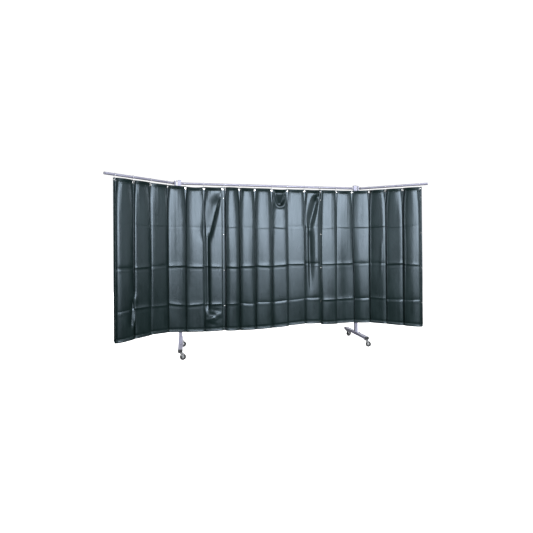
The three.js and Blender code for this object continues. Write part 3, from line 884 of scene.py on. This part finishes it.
# %% [markdown]
# A hem is the edge turned over to the back and sewn down: 40 mm at the top, 30 mm at the bottom and sides.
# Each is a strip that follows the sheet just behind it. The four strips of a curtain are one piece.

# %% Hems
def strip(sheet, u_range, v_range, lift):
    """A grid on the sheet between two flat places each way, on the sheet's own rows and columns."""
    u = np.unique(np.clip(np.concatenate([sheet.u, u_range]), *u_range))
    v = np.unique(np.clip(np.concatenate([sheet.v, v_range]), *v_range))
    across, down = np.meshgrid(u, v)
    return sheet.at(across, down, lift)[0], np.stack([across, sheet_length - down], axis=-1)


edge, gap = 0.0006, 0.0002
across_all = (edge, sheet_width - edge)
between_hems = (top_hem + gap, sheet_length - side_hem - gap)
ranges = [(across_all, (edge, top_hem)), (across_all, (sheet_length - side_hem, sheet_length - edge)),
          ((edge, side_hem), between_hems), ((sheet_width - side_hem, sheet_width - edge), between_hems)]
for part, sheet in sheets.items():
    points, faces, places, count = [], [], [], 0
    for u_range, v_range in ranges:
        grid, place = strip(sheet, u_range, v_range, -hem_behind)
        faces.append(grid_faces(*grid.shape[:2])[:, ::-1] + count)
        points.append(grid.reshape(-1, 3))
        places.append(place.reshape(-1, 2))
        count += len(points[-1])
    follow(cloth(part + "_curtain_hems", np.vstack(points), np.vstack(faces), hem_pvc,
                              np.vstack(places), hem_thickness), part)
print("hems made")

# %% [markdown]
# The hems are sewn with thread in a running stitch. One stitch is a tiny spindle of a few faces. It is
# placed hundreds of times along lines on the sheet, all in one mesh, by turning its points into each
# place's directions.

# %% Stitching
def stitches(name, sheet, lines, step=0.011, length=0.0075, radius=0.0005):
    """lines are pairs of flat places. Each stitch is a five-sided spindle along its line, with its
    underside sunk in the sheet."""
    lift, ahead_by = 0.0006, 0.002
    centres, ways, ups = [], [], []
    for start, end in lines:
        start, end = np.asarray(start, float), np.asarray(end, float)
        count = int(np.linalg.norm(end - start) / step)
        share = (np.arange(count) + 0.5)[:, None] / count
        flat = start + share * (end - start)
        ahead = flat + unit(end - start) * ahead_by
        here, up = sheet.at(flat[:, 0], flat[:, 1], lift)
        there = sheet.at(ahead[:, 0], ahead[:, 1], lift)[0]
        centres.append(here)
        ways.append(unit(there - here))
        ups.append(up)
    centre, way, up = np.vstack(centres), np.vstack(ways), np.vstack(ups)
    side = unit(np.cross(way, up))
    angle = np.linspace(0, 2 * np.pi, 5, endpoint=False)
    rings = [(-0.5, 0.0), (-0.3, 1.0), (0.3, 1.0), (0.5, 0.0)]
    round_it = np.cos(angle)[None, :, None] * side[:, None] + np.sin(angle)[None, :, None] * up[:, None]
    points = np.stack([centre[:, None] + place * length * way[:, None] + size * radius * round_it
                       for place, size in rings], axis=1)
    one = grid_faces(len(rings), len(angle), closed=True)
    first = np.arange(len(centre)) * len(rings) * len(angle)
    faces = (one[None] + first[:, None, None]).reshape(-1, 4)
    return mesh_object(name, points, faces, thread, solid=True)


inset = 0.004
high, low = top_hem - inset, sheet_length - side_hem + inset
left, right = side_hem - inset, sheet_width - side_hem + inset
lines = [((inset, high), (sheet_width - inset, high)), ((inset, low), (sheet_width - inset, low)),
         ((left, high + 0.008), (left, low - 0.006)), ((right, high + 0.008), (right, low - 0.006))]
for part, sheet in sheets.items():
    follow(stitches(part + "_curtain_stitching", sheet, lines), part)

# %% [markdown]
# An eyelet is a rolled metal ring pressed through the hem, and a press stud is a small domed cap with a
# flatter back. Both are turned shapes set square to the cloth where it is. Each rides on the body whose
# hook carries that part of the curtain.

# %% Eyelets and press studs
def fitting(name, sheet, u, v, profile, body, sides):
    """A turned nickel piece centred on the sheet at a flat place, its axis square to the cloth."""
    centre, normal = sheet.at(u, v)
    made = turned_piece(name, profile, centre, normal, nickel, sides)
    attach(made, body)
    return made


eyelet_profile = rounded([(0.0062, -0.0022), (0.0090, -0.0026), (0.0125, -0.0016), (0.0125, -0.0009),
                          (0.0125, 0.0009), (0.0118, 0.0022), (0.0090, 0.0030), (0.0062, 0.0024)], 0.0011, 4)
stud_profile = [(0, -0.0030), (0.0026, -0.0030), (0.0040, -0.0024), (0.0046, -0.0010), (0.0056, -0.0006),
                (0.0060, 0.0006), (0.0055, 0.0018), (0.0040, 0.0027), (0.0020, 0.0031), (0, 0.0032)]
bodies_of = {
    "left": ["left_arm"] * 4 + ["frame"] * 3,
    "middle": ["frame"] + [f"sliding_hook_{n}" for n in range(2, 7)] + ["leading_hook"],
    "right": ["frame"] * 3 + ["right_arm"] * 4}
stud_rows, stud_inset = [0.125, 0.541, 0.951, 1.361], 0.013
stud_edges = {"left": ["far"], "middle": ["far"], "right": ["near", "far"]}
trims = {part: [] for part in sheets}
for part, sheet in sheets.items():
    for number in range(7):
        trims[part].append(fitting(f"{part}_eyelet_{number + 1}", sheet, eyelet_u[number], eyelet_down,
                                   eyelet_profile, bodies_of[part][number], 28))
    for edge in stud_edges[part]:
        u = stud_inset if edge == "near" else sheet_width - stud_inset
        body = bodies_of[part][0 if edge == "near" else 6]
        for row, v in enumerate(stud_rows):
            trims[part].append(fitting(f"{part}_{edge}_stud_{row + 1}", sheet, u, v, stud_profile, body, 20))
print("eyelets and studs:", sum(len(found) for found in trims.values()))

# %% [markdown]
# A hook is one length of 3.5 mm wire: over the rail, down behind it, and forward through the eyelet, with
# its tip turned up. A round section is carried along a smooth line through a few points. The middle
# curtain's hooks stand for the model's own, and each rides on the body of the one that it stands for.

# %% Wire hooks
def smooth_line(knots, per_span=6):
    """A Catmull-Rom curve through the knots: each span is a cubic whose slopes come from the neighbours."""
    knots = np.asarray(knots, float)
    padded = np.vstack([2 * knots[0] - knots[1], knots, 2 * knots[-1] - knots[-2]])
    p0, p1, p2, p3 = (padded[i:len(padded) - 3 + i][:, None] for i in range(4))
    t = np.linspace(0, 1, per_span, endpoint=False)[None, :, None]
    curve = 0.5 * (2 * p1 + (p2 - p0) * t + (2 * p0 - 5 * p1 + 4 * p2 - p3) * t ** 2
                   + (3 * p1 - p0 - 3 * p2 + p3) * t ** 3)
    return np.vstack([curve.reshape(-1, knots.shape[1]), knots[-1]])


wire, rail_gap, tip, shoulder = 0.00175, 0.0011, 0.0012, 0.0008
over = rail_radius + rail_gap + wire
loop = np.radians(np.arange(-40, 221, 20))
hook_knots = [(-over * math.cos(angle), over * math.sin(angle)) for angle in loop]
hook_knots += [(0.0070, -eyelet_drop + 0.014), (0.0055, -eyelet_drop + 0.003), (0.0, -eyelet_drop - 0.0035),
               (-0.0055, -eyelet_drop + 0.002), (-0.0070, -eyelet_drop + 0.010)]
hook_line = smooth_line(hook_knots, 4)


def wire_hook(name, place, along, body, node=None):
    """The wire's centre line lies in the plane square to the rail. A ring of ten points is carried along
    it, and shrinks to a point at both ends."""
    front = unit([along[1], -along[0], 0])
    centres = np.asarray(place) - hook_line[:, :1] * front + hook_line[:, 1:] * np.array([0, 0, 1.0])
    ways = unit(np.gradient(centres, axis=0))
    side = np.cross(front, [0, 0, 1.0])
    inner = np.cross(ways, side)
    angle = np.linspace(0, 2 * np.pi, 10, endpoint=False)[None, :, None]
    radius = np.full(len(centres), wire)
    centres = np.vstack([centres[:1] - ways[:1] * tip, centres[:1] - ways[:1] * shoulder, centres,
                         centres[-1:] + ways[-1:] * shoulder, centres[-1:] + ways[-1:] * tip])
    radius = np.concatenate([[0, 0.75 * wire], radius, [0.75 * wire, 0]])
    inner = np.vstack([inner[:1], inner[:1], inner, inner[-1:], inner[-1:]])
    ring = np.cos(angle) * inner[:, None] + np.sin(angle) * side
    points = centres[:, None] + radius[:, None, None] * ring
    made = mesh_object(name, points, grid_faces(len(centres), 10, closed=True), bright_zinc, solid=True)
    if node:
        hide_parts(node)
    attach(made, body)
    return made


for number, x in enumerate(hook_x):
    wire_hook(f"middle_hook_{number + 1}", (x, rail_y, rail_z), (1, 0), bodies_of["middle"][number],
              f"curtain_hook_{number + 1}")
for side in ("left", "right"):
    for number, place in enumerate(on_arm[side]):
        wire_hook(f"{side}_arm_hook_{number + 1}", place, arm_way[side] * (-1 if side == "left" else 1),
                  side + "_arm")
    for number, place in enumerate(on_frame[side]):
        wire_hook(f"{side}_frame_hook_{number + 1}", place, (1, 0), "frame")
print("twenty-one hooks made")

# %% [markdown]
# Each sheet is a flat cut of 1.40 by 1.64 m, hung from a row of hooks.

print("each sheet is 1.40 by 1.64 m")

# %% [markdown]
# The room is a white studio: a pale floor, a wide soft light overhead, and a large soft box high in front
# whose reflection gives the upper curtain its sheen. A weaker, low box lifts the lower half. On each side a
# weak panel is mirrored by the arms' bays, and a tall strip draws the bright lines along the folds. A wide
# light behind the screen keeps its back from going black. The floor glows a little and the backdrop is
# white to the camera only, so that both look white and yet the cloth's reflections stay dark.

# %% Floor and lights
def light(name, place, target, width, height, power, colour=(1, 1, 1)):
    """An area light that faces a target."""
    lamp = bpy.data.lights.new(name, "AREA")
    lamp.shape, lamp.size, lamp.size_y = "RECTANGLE", width, height
    lamp.energy, lamp.color = power, colour
    made = bpy.data.objects.new(name, lamp)
    bpy.context.scene.collection.objects.link(made)
    way = np.asarray(target, float) - np.asarray(place, float)
    first, second = frame_of(-way)
    back = unit(-way)
    made.matrix_world = Matrix([[first[k], second[k], back[k], place[k]] for k in range(3)] + [[0, 0, 0, 1]])
    return made


floor_points = np.array([[[-30, -30, 0], [30, -30, 0]], [[-30, 30, 0], [30, 30, 0]]], float)
floor_finish = Finish("pale_floor", Roughness=0.8, Emission_Strength=1.12)
mottle = floor_finish.noise(even, 3.0)
pale = floor_finish.mix(mottle, (0.86, 0.86, 0.86, 1), (0.90, 0.90, 0.90, 1))
floor_finish.shade(Base_Color=pale, Emission_Color=pale)
floor = mesh_object("floor", floor_points, grid_faces(2, 2), floor_finish.material)
floor.visible_diffuse = False
floor.visible_glossy = False

cool = (0.96, 0.98, 1.0)
light("overhead", (0, -2.4, 5.5), (0, -2.4, 0), 8, 8, 260)
light("front_box", (1.35, -6.3, 2.70), (1.35, 0, 2.70), 4.7, 3.2, 730, cool)
light("front_low", (1.35, -6.3, 0.56), (1.35, 0, 0.56), 4.7, 1.08, 56, cool)
light("left_panel", (-4.3, -6.5, 1.8), (0.9, 0, 1.2), 3.0, 2.8, 52, cool)
light("right_panel", (5.2, -3.1, 1.8), (-0.9, 0, 1.2), 3.2, 2.8, 52, cool)
light("left_strip", (-5.2, -1.5, 1.9), (0.9, 0.1, 1.3), 0.8, 2.6, 120, cool)
light("right_strip", (5.5, -0.1, 1.9), (-1.4, -0.2, 1.3), 0.6, 2.6, 90, cool)
light("back_fill", (0, 6.0, 1.8), (0, 0, 1.0), 9, 3.2, 330)

world = bpy.data.worlds.new("studio")
bpy.context.scene.world = world
world.use_nodes = True
backdrop = world.node_tree.nodes["Background"]
seen = world.node_tree.nodes.new("ShaderNodeLightPath")
tone = world.node_tree.nodes.new("ShaderNodeMapRange")
tone.inputs["To Min"].default_value = 0.055
tone.inputs["To Max"].default_value = 1.05
world.node_tree.links.new(tone.inputs["Value"], seen.outputs["Is Camera Ray"])
world.node_tree.links.new(backdrop.inputs["Strength"], tone.outputs["Result"])
backdrop.inputs["Color"].default_value = (1, 1, 1, 1)
bpy.context.scene.view_settings.view_transform = "Standard"
print("studio ready")
